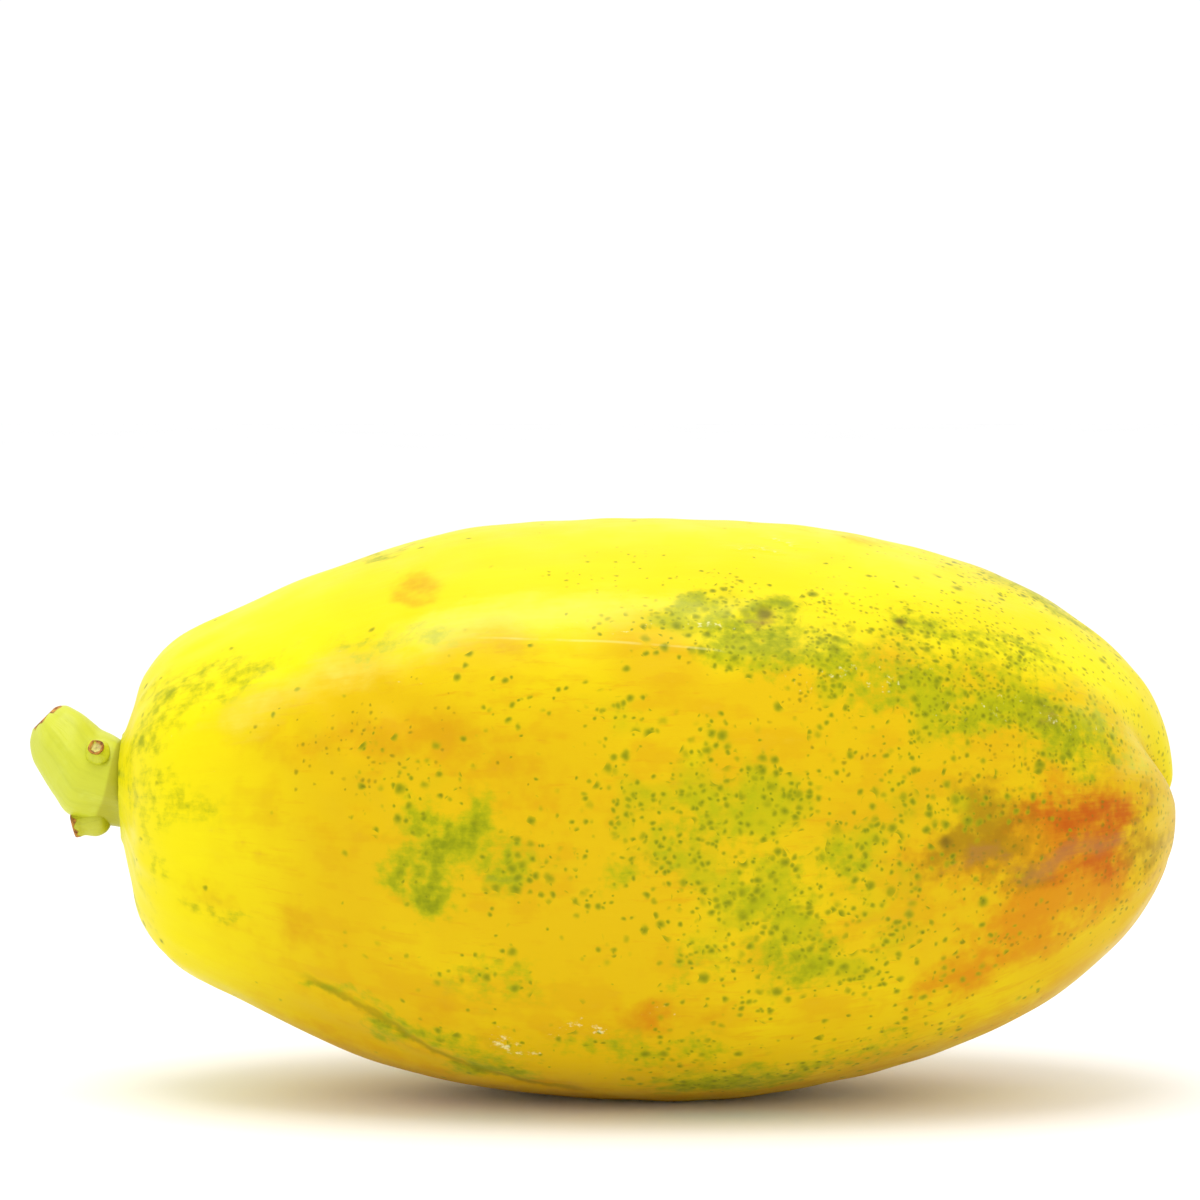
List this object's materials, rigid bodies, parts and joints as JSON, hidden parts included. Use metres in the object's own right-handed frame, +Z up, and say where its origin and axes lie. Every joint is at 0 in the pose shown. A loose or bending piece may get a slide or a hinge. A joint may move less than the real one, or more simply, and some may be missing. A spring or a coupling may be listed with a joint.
{
  "type": "papaya",
  "caption": "Ripe papaya lying on its side: a plump ridged pear-like fruit with a lobed blossom end and a short fat stalk with a dried cut end.",
  "frame": {"origin": "middle of the small flat spot on the underside that the fruit rests on", "axes": "+X from the stalk end to the blossom end, +Z up, -Y towards the side the picture shows"},
  "size_m": [0.2713, 0.1407, 0.1362],
  "materials": {
    "skin": "ripe papaya skin: thin, smooth, waxy and satin-glossy, bright yellow with green freckles and an orange blush",
    "stalk": "fresh yellow-green fruit stalk with dry brown cut ends"
  },
  "bodies": {
    "root": {"fruit": "skin", "stalk": "stalk"}
  },
  "joints": []
}
